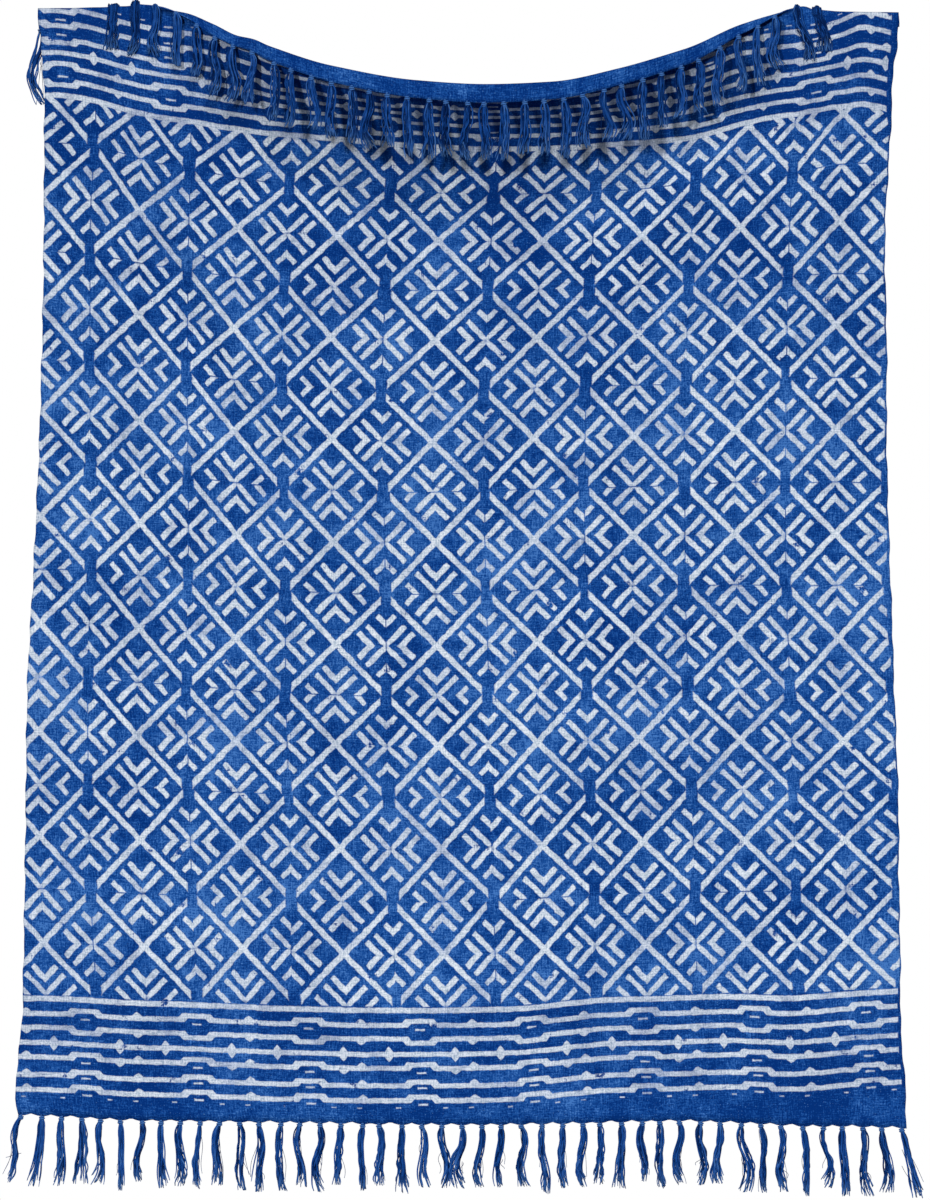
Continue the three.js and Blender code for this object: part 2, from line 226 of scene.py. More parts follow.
CREASES = [
    (0.015, 0.920, 0.020, 1.300, 0.011, -0.0016),
    (-0.640, 0.838, 0.640, 0.828, 0.013, 0.0013),
    (-0.590, 0.200, -0.440, 0.520, 0.016, 0.0024),
    (-0.520, 0.210, -0.420, 0.430, 0.012, -0.0018),
    (0.440, 0.210, 0.330, 0.360, 0.013, 0.0018),
    (-0.420, 0.300, -0.240, 0.610, 0.018, -0.0016),
    (0.560, 0.220, 0.420, 0.560, 0.020, 0.0020),
    (-0.330, 0.900, -0.120, 1.160, 0.018, 0.0014),
    (0.330, 0.640, 0.480, 1.050, 0.020, -0.0015),
]
# The slack weave never lies quite flat: waves across and along the cloth, and how far they lift it.
RIPPLES = [
    (31, 17, 0.0007),
    (-19, 43, 0.0006),
    (57, -29, 0.0004),
    (83, 61, 0.00025),
]
SELVEDGE_WAVES = [(71, 0.0008), (163, 0.0005)]
SELVEDGE_REACH = 0.03
# Slack right selvedge: distance from the upper edge, and how far it is drawn out.
SLACK_RIGHT = np.array(
    [
        (0.000, 0.0055),
        (0.070, 0.0055),
        (0.105, 0.0000),
        (0.350, 0.0010),
        (0.520, 0.0035),
        (0.660, 0.0015),
        (0.920, 0.0025),
        (1.000, 0.0005),
        (1.210, 0.0015),
        (1.280, 0.0005),
        (1.430, 0.0025),
        (1.600, 0.0015),
        (1.660, 0.0030),
    ]
)
# Columns and rows of the sheet, and the short steps in which its climb to the top edge is added up.
COLUMNS = 270
FLAP_ROWS = 3
FOLD_ROWS = 10
BORDER_ROWS = 26
FIELD_ROWS = 138
CLIMB_STEP = 0.001
# Tassels past the upper edge: the longest, and how tightly they turn downward.
LONGEST_TASSEL = 0.1
CURL_RADIUS = 0.0025
# Places of the tassels along either edge, which draw the lower edge out in shallow scallops.
TASSELS = 45
TASSEL_INSET = 0.004
TASSEL_DRIFT = 0.003
TOP_SEED = 11
BOTTOM_SEED = 47
SCALLOP = 0.0034
SCALLOP_REACH = 0.014
# The hem past the upper edge: place across, and how much more of it there is, or less.
TOP_HEM = np.array(
    [
        (-0.650, 0.0000),
        (-0.545, -0.0004),
        (-0.510, -0.0047),
        (-0.495, -0.0060),
        (-0.480, -0.0047),
        (-0.455, -0.0010),
        (-0.430, 0.0030),
        (-0.390, 0.0040),
        (-0.350, -0.0040),
        (-0.310, 0.0045),
        (-0.260, 0.0050),
        (0.380, 0.0050),
        (0.420, 0.0025),
        (0.450, 0.0000),
        (0.480, -0.0047),
        (0.495, -0.0060),
        (0.510, -0.0047),
        (0.545, -0.0004),
        (0.650, 0.0000),
    ]
)
# Long waves that give each tassel uneven numbers of its own.
UNEVEN_WAVES = (127.1, 311.7)
UNEVEN_REACH = 43758.5453


def eased(t):
    """Goes from 0 to 1 with t, slowly at either end."""
    return t * t * (3 - 2 * t)


def smooth_curve(table, column, at):
    """A smooth curve through one column of a table over its first, with no overshoot between rows."""
    x = table[:, 0]
    y = table[:, column]
    rise = np.diff(y) / np.diff(x)
    before = np.concatenate((rise[:1], rise))
    after = np.concatenate((rise, rise[-1:]))
    steady = before * after > 0
    slope = np.where(steady, 2 * before * after / np.where(steady, before + after, 1), 0)
    at = np.clip(at, x[0], x[-1])
    i = np.clip(np.searchsorted(x, at) - 1, 0, len(x) - 2)
    span = x[i + 1] - x[i]
    t = (at - x[i]) / span
    start = t * (1 - t) ** 2 * span * slope[i]
    end = t * t * (t - 1) * span * slope[i + 1]
    return y[i] + (y[i + 1] - y[i]) * eased(t) + start + end


def sag_share(across):
    return smooth_curve(SECTIONS, 1, across)


def lean(across):
    return np.radians(smooth_curve(SECTIONS, 2, across))


def turn(across):
    return np.radians(smooth_curve(SECTIONS, 3, across))


def flap(across):
    return smooth_curve(SECTIONS, 4, across)


def fold(across):
    """Length of cloth that the fold at the top edge takes up."""
    return np.maximum(FOLD_RADIUS * np.abs(turn(across) - lean(across)), FOLD_LEAST)


def lower_edge(across):
    return smooth_curve(LOWER_EDGE, 1, across)


def top_hem(across):
    """How far the hem hangs past the upper edge."""
    return smooth_curve(TOP_HEM, 1, across)


def tilt(across, length):
    """Angle from upright, positive when the cloth, or a tassel past its edge, goes forward on its way."""
    leaning, turned, straight = lean(across), turn(across), flap(across)
    bend = fold(across)
    t = np.clip((LEAN_START - length) / (LEAN_START - LEAN_FULL), 0, 1)
    border = leaning * eased(t)
    folding = leaning + (turned - leaning) * (straight + bend - length) / bend
    hem_edge = -top_hem(across)
    curl = (hem_edge - length) / CURL_RADIUS
    tassel = np.where(turned < 0, np.maximum(turned - curl, -np.pi), np.minimum(turned + curl, np.pi))
    stretches = [length > straight + bend, length > straight, length > hem_edge]
    return np.select(stretches, [border, folding, turned], tassel)


def relief(runs, across, length):
    """How far soft folds push the cloth forward."""
    out = np.zeros(np.broadcast(across, length).shape)
    for from_across, from_length, to_across, to_length, width, height in runs:
        run_x = to_across - from_across
        run_y = to_length - from_length
        run = np.hypot(run_x, run_y)
        x = across - from_across
        y = length - from_length
        along = np.clip((x * run_x + y * run_y) / run**2, 0, 1)
        aside = (x * run_y - y * run_x) / run / width
        out += height * np.sin(np.pi * along) ** 2 * np.exp(-aside * aside)
    return out


def place(across, length):
    """Points of the cloth's middle layer, from places on the flat cloth: one column for each across."""
    below_corner = np.maximum(length - CORNER, 0)
    low = np.maximum(length, LEAN_START)
    near = SAG_NEAR * np.exp((BORDER - low) / SAG_NEAR_FALL)
    far = SAG_FAR * np.exp((BORDER - low) / SAG_FAR_FALL)
    left = smooth_curve(SELVEDGES, 1, below_corner)
    right = smooth_curve(SELVEDGES, 2, below_corner)
    x = left + (right - left) * (across / WIDTH + 0.5)
    y = -relief(FOLDS, across, low)
    z = CORNER - low - sag_share(across) * (near + far)
    middles = np.arange(LEAN_START - CLIMB_STEP / 2, -LONGEST_TASSEL, -CLIMB_STEP)[:, None]
    angle = tilt(across, middles + np.zeros_like(across))
    start = np.zeros((1, len(across)))
    forward = np.concatenate((start, np.cumsum(np.sin(angle), 0) * CLIMB_STEP))
    up = np.concatenate((start, np.cumsum(np.cos(angle), 0) * CLIMB_STEP))
    steps = np.maximum((LEAN_START - length) / CLIMB_STEP, 0)
    before = np.minimum(np.floor(steps).astype(int), len(middles) - 1)
    share = steps - before
    column = np.broadcast_to(np.arange(len(across)), before.shape)
    y -= forward[before, column] * (1 - share) + forward[before + 1, column] * share
    z += up[before, column] * (1 - share) + up[before + 1, column] * share
    return np.stack((x, y, z), -1)


def backward(across, length):
    """Direction from the printed side of the cloth to the plain one."""
    tiny = CLIMB_STEP
    right = place(across + tiny, length) - place(across - tiny, length)
    down = place(across, length + tiny) - place(across, length - tiny)
    normal = np.cross(right, down)
    return normal / np.linalg.norm(normal, axis=-1, keepdims=True)


def crest():
    """The origin: the middle of the top edge, on the highest point of the fold there."""
    lengths = np.arange(LEAN_START, 0, -CLIMB_STEP / 2)[:, None]
    points = place(np.zeros(1), lengths)[:, 0]
    return points[points[:, 2].argmax()] + np.array((0, 0, SOLID_THICKNESS / 2))


def uneven(first, second):
    """A fixed number between -1 and 1 for each pair of whole numbers."""
    wave = np.sin(first * UNEVEN_WAVES[0] + second * UNEVEN_WAVES[1]) * UNEVEN_REACH
    return 2 * (wave - np.floor(wave)) - 1


def tassel_places(seed):
    """Where the tassels of one edge are tied, across the cloth."""
    number = np.arange(TASSELS)
    even = (WIDTH - 2 * TASSEL_INSET) * (number / (TASSELS - 1) - 0.5)
    inner = (number > 0) & (number < TASSELS - 1)
    return even + np.where(inner, TASSEL_DRIFT * uneven(number, seed), 0)


def scallop(across):
    """How far the tassels draw out the lower edge."""
    nearest = np.abs(across[:, None] - tassel_places(BOTTOM_SEED)).min(1)
    half_pitch = WIDTH / TASSELS / 2
    return SCALLOP * (1 - np.minimum(nearest / half_pitch, 1) ** 2)


def rows_between(start, end, rows):
    """Even rows from start up to, not including, end."""
    return start + (end - start) * np.linspace(0, 1, rows, endpoint=False)[:, None]


across = np.linspace(-WIDTH / 2, WIDTH / 2, COLUMNS + 1)
fold_end = flap(across)
fold_start = fold_end + fold(across)
edge = lower_edge(across)
lengths = np.concatenate(
    (
        rows_between(-top_hem(across), fold_end, FLAP_ROWS),
        rows_between(fold_end, fold_start, FOLD_ROWS),
        rows_between(fold_start, LEAN_START, BORDER_ROWS),
        rows_between(LEAN_START, edge, FIELD_ROWS),
        edge[None],
    )
)
lengths += scallop(across) * np.clip(1 - (edge - lengths) / SCALLOP_REACH, 0, 1)
low = np.maximum(lengths, LEAN_START)
points = place(across, lengths) - crest()
points[..., 1] -= relief(CREASES, across, low)
for across_wave, length_wave, lift in RIPPLES:
    points[..., 1] += lift * np.sin(across_wave * across + length_wave * low)
from_selvedge = WIDTH / 2 - np.abs(across)
edge_share = np.clip(1 - from_selvedge / SELVEDGE_REACH, 0, 1) * np.sign(across)
for wave, swing in SELVEDGE_WAVES:
    points[..., 0] += swing * np.sin(wave * lengths + np.sign(across)) * edge_share
points[..., 0] += smooth_curve(SLACK_RIGHT, 1, lengths) * np.maximum(edge_share, 0)
rows, columns = lengths.shape
corner = np.arange(rows * columns).reshape(rows, columns)
quads = np.stack((corner[:-1, :-1], corner[1:, :-1], corner[1:, 1:], corner[:-1, 1:]), -1)
cloth = made_mesh("throw_cloth_sheet", points, quads.reshape(-1, 4).tolist())
thick = cloth.modifiers.new("thickness", "SOLIDIFY")
thick.thickness = THICKNESS
thick.offset = 0
thick.material_offset = 1

# The printer lays the blocks by eye: a field of square blocks whose rows skew and wave, and a border
# at either end that follows its own first line. Sizes of the print are in millimetres.
MM = 1000
BLOCK_WIDTH = 151.5
BLOCK_HEIGHT = 152.5
FIRST_BLOCK = (-642, 172)
FIELD_MIDDLE = 860
FIELD_HALF = 640
# How the columns of blocks drift across, by side and by height, and how the rows wave and skew.
SKEW_ACROSS = {"all": -4.5, "right": 1.3, "down": 8.8, "both": -15.3, "sides": 4.5, "ends": 11.2}
WAVE_DOWN = 6
WAVE_TURNS = 5.03
WAVE_START = 0.6
SKEW_DOWN = -8
# Blocks laid askew: place across and down, reach, and how far the print there strays across and down.
STRAYED = [
    (-590, 190, 90, 8, -3.5),
    (-105, 215, 190, 0, -9.5),
    (355, 225, 70, 0, -5),
    (430, 235, 120, 0, -6.5),
    (555, 180, 60, 0, -5),
    (600, 170, 140, -13, 0),
    (650, 225, 120, 0, -16),
    (-570, 270, 100, 0, -5.5),
    (165, 265, 200, 6, 0),
    (-210, 550, 180, -8, 0),
    (-640, 560, 110, 0, 4.5),
    (210, 660, 130, 0, 3.5),
    (650, 740, 190, 0, 6.5),
    (-560, 830, 190, 5.5, 0),
    (20, 965, 140, 4, 0),
    (500, 985, 120, 0, 5),
    (650, 1075, 150, 0, 13),
    (-640, 1090, 140, 0, 6),
    (-235, 1175, 170, 0, -6),
    (-560, 1290, 150, -4.5, 4),
    (-600, 1420, 90, -3.5, 3.5),
    (-245, 1420, 100, -6, -4.5),
    (45, 1420, 90, 0, 5.5),
]
# The first line of either border: place across, and distance from the upper edge.
TOP_LINE = np.array(
    [
        (-0.650, 162),
        (-0.620, 159),
        (-0.585, 160.5),
        (-0.525, 166),
        (-0.470, 168),
        (-0.355, 171),
        (-0.155, 170),
        (0.090, 172),
        (0.365, 171),
        (0.403, 169),
        (0.447, 165.5),
        (0.482, 162.5),
        (0.515, 162),
        (0.548, 162.5),
        (0.572, 162.5),
        (0.602, 159.5),
        (0.630, 163.5),
        (0.650, 170),
    ]
)
BOTTOM_LINE = np.array(
    [
        (-0.650, 1481),
        (-0.535, 1481),
        (-0.290, 1480),
        (-0.155, 1479.5),
        (0.005, 1477),
        (0.080, 1475),
        (0.225, 1464),
        (0.360, 1464),
        (0.490, 1472),
        (0.580, 1469),
        (0.650, 1465),
    ]
)
# How much closer together the lines of the top border are.
TOP_CLOSER = np.array(
    [
        (-0.650, 1.035),
        (0.400, 1.030),
        (0.470, 1.100),
        (0.515, 1.095),
        (0.555, 1.080),
        (0.600, 0.990),
        (0.650, 1.000),
    ]
)
# Along either border: its repeat, the middle of a box, and how far the print leans. The top one is also
# crowded at one share of its repeat, over a reach.
TOP_REPEAT = 165
TOP_BOX = -620
TOP_LEAN = -0.04
TOP_CROWDING = 0.06
TOP_CROWDED = (0.68, 0.2)
BOTTOM_REPEAT = 165.7
BOTTOM_BOX = -559
BOTTOM_LEAN = 0.055
# The strip left plain along the right selvedge: distance from the upper edge, and width.
PLAIN_STRIP = np.array(
    [
        (0.000, 9),
        (0.165, 8.5),
        (0.215, 2),
        (0.550, 2.5),
        (0.780, 3),
        (0.920, 7),
        (1.030, 2.5),
        (1.420, 2),
        (1.480, 4),
        (1.660, 6),
    ]
)
# How far the field keeps clear of the middle of the first line.
TOP_CLEAR = 3
BOTTOM_CLEAR = 5.6


def keep_places(piece, name, *values):
    """Stores three numbers at each point of a piece, for its material to read."""
    layer = piece.data.attributes.new(name, "FLOAT_VECTOR", "POINT")
    layer.data.foreach_set("vector", np.stack(np.broadcast_arrays(*values), -1).ravel().astype(np.float32))


flat_across = across * MM + np.zeros_like(lengths)
flat_length = lengths * MM
right_share = flat_across / (WIDTH * MM / 2)
down_share = (flat_length - FIELD_MIDDLE) / FIELD_HALF
drift_across = (
    SKEW_ACROSS["all"]
    + SKEW_ACROSS["right"] * right_share
    + SKEW_ACROSS["down"] * down_share
    + SKEW_ACROSS["both"] * right_share * down_share
    + SKEW_ACROSS["sides"] * right_share**2
    + SKEW_ACROSS["ends"] * down_share**2
)
drift_down = WAVE_DOWN * np.sin(WAVE_TURNS * (right_share + WAVE_START))
drift_down += SKEW_DOWN * right_share * down_share
for from_across, from_length, reach, stray_across, stray_down in STRAYED:
    away = ((flat_across - from_across) ** 2 + (flat_length - from_length) ** 2) / reach**2
    drift_across += stray_across * np.exp(-away)
    drift_down += stray_down * np.exp(-away)
print_end = WIDTH * MM / 2 - smooth_curve(PLAIN_STRIP, 1, lengths)
keep_places(cloth, "cloth_place", flat_across, flat_length, print_end)
keep_places(
    cloth,
    "field_place",
    (flat_across - drift_across - FIRST_BLOCK[0]) / BLOCK_WIDTH,
    (flat_length - drift_down - FIRST_BLOCK[1]) / BLOCK_HEIGHT,
    0,
)
past_top = (smooth_curve(TOP_LINE, 1, across) - flat_length) * smooth_curve(TOP_CLOSER, 1, across)
past_bottom = flat_length - smooth_curve(BOTTOM_LINE, 1, across)
upper = flat_length < FIELD_MIDDLE
top_repeat = (flat_across - TOP_LEAN * right_share * past_top - TOP_BOX) / TOP_REPEAT
from_crowd = (top_repeat - np.floor(top_repeat) - TOP_CROWDED[0]) / TOP_CROWDED[1]
top_repeat = -top_repeat - TOP_CROWDING * np.exp(-from_crowd * from_crowd)
bottom_repeat = (flat_across - BOTTOM_LEAN * (1 - right_share) * past_bottom - BOTTOM_BOX) / BOTTOM_REPEAT
repeat = np.where(upper, top_repeat, bottom_repeat)
clear = np.where(upper, TOP_CLEAR, BOTTOM_CLEAR)
keep_places(cloth, "border_place", repeat, np.where(upper, past_top, past_bottom), clear)

# The dye and the print, as a shader over those places. Colours are the cloth's own, from 0 to 255.
PALE_INK = (237, 243, 252)
PALE_INK_WORN = (157, 177, 197)
INDIGO_DARK = (2, 47, 118)
INDIGO = (23, 76, 151)
INDIGO_LIGHT = (66, 118, 190)
LIGHT_YARN = (105, 158, 214)
CLOTH_ROUGHNESS = 0.95
CLOTH_SHINE = 0.04
# The usual curve between a colour's number on a screen and its light.
SCREEN_TOP = 255
SCREEN_KNEE = 0.04045
SCREEN_SLOPE = 12.92
SCREEN_LIFT = 0.055
SCREEN_POWER = 2.4
# Uneven dye and yarn, as size and detail of the lumps, and how far they swing the tone. A slub has a
# length and a thickness. Specks of light yarn show where their lumps are strongest.
VAT = (140, 4)
VAT_SWING = 1.15
MOTTLE = (30, 4)
MOTTLE_SWING = 0.95
SLUB = (15, 2.0)
SLUB_SWING = 1.1
GRAIN = (2.5, 2)
GRAIN_SWING = 1.35
TONE_REACH = 0.5
SPECK = (2.6, 1)
SPECK_LIMITS = (0.72, 0.84)
SPECK_STRENGTH = 0.5
# Where the border, the hem and the upper part of the cloth set in, and how much darker or more worn
# they are.
BORDER_LIMITS = (-20, 10)
HEM_LIMITS = (130, 150)
TOP_LIMITS = (200, 700)
BORDER_DARKER = 0.2
HEM_DARKER = 0.02
TOP_DARKER = 0.21
BORDER_WORN = 0.09
TOP_WORN = 0.065
# Field block, in shares of half a block: lines of the lattice, and arms and chevrons of its flowers, as
# distance from the flower's diagonal, half thickness, reach from its middle, and narrowing there.
LATTICE_HALF = 0.074
LATTICE_GAP = 0.115
BARS = [(0.0, 0.071, 0.78, 0.030), (0.305, 0.077, 0.80, 0.0), (-0.41, 0.068, 0.78, 0.0)]
NARROW_REACH = 0.20
BAR_ROUNDING = 0.028
SHARE_MM = 54
# How far single blocks are shifted and turned, how their carving waves, and the seams between them.
BLOCK_SHIFT = 0.055
BLOCK_TURN = 0.035
CARVED_WAVE = 0.055
CARVED_LUMP = (0.19, 1)
SEAM = 0.02
SEAM_CHANCE = 0.55
LAST_ROW = 8
# Border lines: distance outward from the first, step inside a box, and side of the knob between boxes.
LINES = [(22, -6, -1), (42, 6, 1), (64.6, 0, 0), (85.4, -5.5, -1), (111, -5.5, -1), (133, -5.5, -1)]
LINE_HALF = 3.4
FIRST_LINE_HALF = 3.8
CELL_BEFORE = 0.455
BOX_INNER = 15.5
BOX_OUTER = 23.5
BOX_SLOPE = 3.5
KNOB_AT = 77.5
KNOB_OFF = 2.5
KNOB_REACH = 6.2
KNOB_SLOPE = 0.78
DASHES = [28.5, 92, 114.5, 138.5]
DASH_HALF = (6.7, 1.1)
TAIL_LINE = 3
SPINDLE_LINE = 2
SPINDLES = [50.7, -47.5]
SPINDLE_HALF = (7.2, 10.8)
HEM_DASHES = [33, -37, 71]
HEM_DASH_HALF = (3.2, 0.7)
HEM_DASH_OUT = 143.5
LINE_WANDER = 2.2
WANDER_LUMP = 26
# How far the paste spreads and how ragged it leaves its edges, by the yarn and by its own lumps.
PASTE_SPREAD = 0.12
YARN_FRAY = 2.0
PASTE_FRAY = 1.4
PASTE_LUMP = (7, 1)
EDGE_SOFTNESS = 0.8
# Worn print, as size and detail of the lumps, the limits between which it comes back, and the least that
# is left. Patches are bare, and the weave frays them.
FADE = (50, 3)
FADE_LIMITS = (0.28, 0.5)
FADE_LEAST = 0.7
THIN = (170, 2)
THIN_LIMITS = (0.4, 0.6)
THIN_LEAST = 0.86
PATCH = (24, 3)
PATCH_LIMITS = (0.2, 0.32)
PATCH_FRAY = 0.1
WORN_LIMITS = (-0.62, 0.55)
WEAVE_STRENGTH = 0.4
WEAVE_HEIGHT = 0.0012
PRINT_ON_FACE = 1.0
GHOST_ON_REVERSE = 0.06


class Shade:
    """A socket among a material's nodes. Sums written with it add the nodes that work them out."""

    def __init__(self, tree, socket=None):
        self.tree = tree
        self.socket = socket

    def node(self, kind, settings, sockets, output=0):
        """Adds any node from its type, its settings and the values or links of its sockets."""
        made = self.tree.nodes.new(kind)
        for name, value in settings.items():
            setattr(made, name, value)
        for key, value in sockets.items():
            if isinstance(value, Shade):
                self.tree.links.new(value.socket, made.inputs[key])
            else:
                made.inputs[key].default_value = value
        return Shade(self.tree, made.outputs[output])

    def stored(self, name):
        """The vector that a piece keeps at its points under a name."""
        return self.node("ShaderNodeAttribute", {"attribute_name": name}, {}, 1)

    def maths(self, operation, *values):
        return self.node("ShaderNodeMath", {"operation": operation}, dict(enumerate(values)))

    def __add__(self, other):
        return self.maths("ADD", self, other)

    def __sub__(self, other):
        return self.maths("SUBTRACT", self, other)

    def __rsub__(self, other):
        return self.maths("SUBTRACT", other, self)

    def __mul__(self, other):
        return self.maths("MULTIPLY", self, other)

    def __truediv__(self, other):
        return self.maths("DIVIDE", self, other)

    def __abs__(self):
        return self.maths("ABSOLUTE", self)

    __radd__ = __add__
    __rmul__ = __mul__

    def floor(self):
        return self.maths("FLOOR", self)

    def sine(self):
        return self.maths("SINE", self)

    def cosine(self):
        return self.maths("COSINE", self)

    def above(self, limit):
        return self.maths("GREATER_THAN", self, limit)

    def least(self, other):
        return self.maths("MINIMUM", self, other)

    def most(self, other):
        return self.maths("MAXIMUM", self, other)

    def swing(self, reach):
        """This, from 0 to 1, as a swing about nothing."""
        return (self - 0.5) * reach

    def length(self, other):
        """Length of the diagonal of this and another side."""
        return self.maths("SQRT", self * self + other * other)

    def ease(self, low, high, start=0.0, end=1.0):
        """Goes smoothly from start to end while this goes from low to high."""
        sockets = {"Value": self, "From Min": low, "From Max": high, "To Min": start, "To Max": end}
        return self.node("ShaderNodeMapRange", {"interpolation_type": "SMOOTHSTEP"}, sockets)

    def parts(self):
        """The three parts of a vector."""
        split = self.node("ShaderNodeSeparateXYZ", {}, {0: self}).socket.node
        return [Shade(self.tree, output) for output in split.outputs]

    def joined(self, other):
        """A vector of this and another number."""
        return self.node("ShaderNodeCombineXYZ", {}, {0: self, 1: other})

    def stretched(self, across, along):
        """This vector with its parts divided by two sizes."""
        sizes = (1 / across, 1 / along, 0)
        return self.node("ShaderNodeVectorMath", {"operation": "MULTIPLY"}, {0: self, 1: sizes})

    def cloud(self, size, detail=2.0, output=0):
        """Soft noise over this vector, of one size of lump."""
        sockets = {"Vector": self, "Scale": 1 / size, "Detail": detail}
        return self.node("ShaderNodeTexNoise", {"noise_dimensions": "2D"}, sockets, output)

    def chance(self):
        """Three numbers between 0 and 1 that are fixed for each place."""
        return self.node("ShaderNodeTexWhiteNoise", {"noise_dimensions": "2D"}, {"Vector": self}, 1).parts()

    def mixed(self, first, second):
        """A colour between two, by this share."""
        return self.node("ShaderNodeMix", {"data_type": "RGBA"}, {0: self, 6: first, 7: second}, 2)


def colour(red, green, blue):
    """A colour from 0 to 255 as a shader wants it."""
    share = np.array((red, green, blue)) / SCREEN_TOP
    curved = ((share + SCREEN_LIFT) / (1 + SCREEN_LIFT)) ** SCREEN_POWER
    return (*np.where(share <= SCREEN_KNEE, share / SCREEN_SLOPE, curved).tolist(), 1)


def field_print(place, fray):
    """Distance in millimetres outside the marks of the field blocks."""
    x, y, _ = place.parts()
    column = (x + 0.5).floor()
    row = (y + 0.5).floor().least(LAST_ROW)
    shift_x, shift_y, turned = column.joined(row).chance()
    block_x = 2 * (x - column)
    block_y = 2 * (y - row)
    gap = turned.above(SEAM_CHANCE) * (2 * SEAM) - SEAM
    seam = gap - abs(block_x + 1).least(abs(block_y + 1))
    local_x = block_x + shift_x.swing(BLOCK_SHIFT) + turned.swing(BLOCK_TURN) * block_y
    local_y = block_y + shift_y.swing(BLOCK_SHIFT) - turned.swing(BLOCK_TURN) * block_x
    wave_p, wave_m, _ = local_x.joined(local_y).cloud(*CARVED_LUMP, 1).parts()
    out_x = abs(local_x)
    out_y = abs(local_y)
    diagonal = 1 - out_x - out_y + wave_p.swing(CARVED_WAVE)
    between = abs(out_x - out_y + wave_m.swing(CARVED_WAVE))
    reach = 1 - between
    marks = (between - LATTICE_HALF).most(out_x - (1 - LATTICE_GAP))
    narrowed = (1 - reach / NARROW_REACH).most(0)
    for middle, half, end, narrowing in BARS:
        beside = (abs(diagonal - middle) - (half - BAR_ROUNDING)).most(0)
        beyond = (reach - (end - BAR_ROUNDING)).most(0)
        bar = beside.length(beyond) - BAR_ROUNDING
        marks = marks.least(bar + narrowed * narrowing)
    return (marks * SHARE_MM + fray).most(seam * SHARE_MM)


def nearest(value, places):
    """Distance from a value to the nearest of some places."""
    least = abs(value - places[0])
    for other in places[1:]:
        least = least.least(abs(value - other))
    return least


def blob(side, height):
    """Distance from the middle of a mark that is half round, half pointed."""
    return (side.length(height) + side + height) / 2


def border_print(place, cloth_place, fray):
    """Distance in millimetres outside the marks of a border."""
    repeats, past, _ = place.parts()
    number = (repeats + CELL_BEFORE).floor()
    along = (repeats - number) * BOTTOM_REPEAT
    lift, _, _ = number.joined(0).chance()
    out = past + cloth_place.cloud(WANDER_LUMP).swing(LINE_WANDER) + lift.swing(LINE_WANDER / 2)
    aside = abs(along)
    inner = aside.ease(BOX_INNER - BOX_SLOPE, BOX_INNER + BOX_SLOPE, 1, 0)
    outer = aside.ease(BOX_OUTER - BOX_SLOPE, BOX_OUTER + BOX_SLOPE, 1, 0)
    marks = abs(out) - FIRST_LINE_HALF
    for distance, step, _ in LINES:
        near, far = (inner, outer) if step > 0 else (outer, inner)
        before = distance - LINE_HALF + near * step - out
        after = out - (distance + LINE_HALF + far * step)
        marks = marks.least(before.most(after))
    knob_rows = [distance + KNOB_OFF * side for distance, _, side in LINES if side]
    knob = blob(abs(along - KNOB_AT) * KNOB_SLOPE, nearest(out, knob_rows))
    tail = blob(abs(along - SPINDLES[0]) * KNOB_SLOPE, abs(out - (LINES[TAIL_LINE][0] + KNOB_OFF)))
    knob = knob.least(tail) - KNOB_REACH
    spindle_side = nearest(along, SPINDLES) * (SPINDLE_HALF[1] / SPINDLE_HALF[0])
    spindle = blob(spindle_side, abs(out - LINES[SPINDLE_LINE][0])) - SPINDLE_HALF[1]
    dash = (aside - DASH_HALF[0]).most(nearest(out, DASHES) - DASH_HALF[1])
    hem_dash_side = nearest(along, HEM_DASHES) - HEM_DASH_HALF[0]
    hem_dash = hem_dash_side.most(abs(out - HEM_DASH_OUT) - HEM_DASH_HALF[1])
    for mark in (knob, spindle, dash, hem_dash):
        marks = marks.least(mark)
    return marks + fray


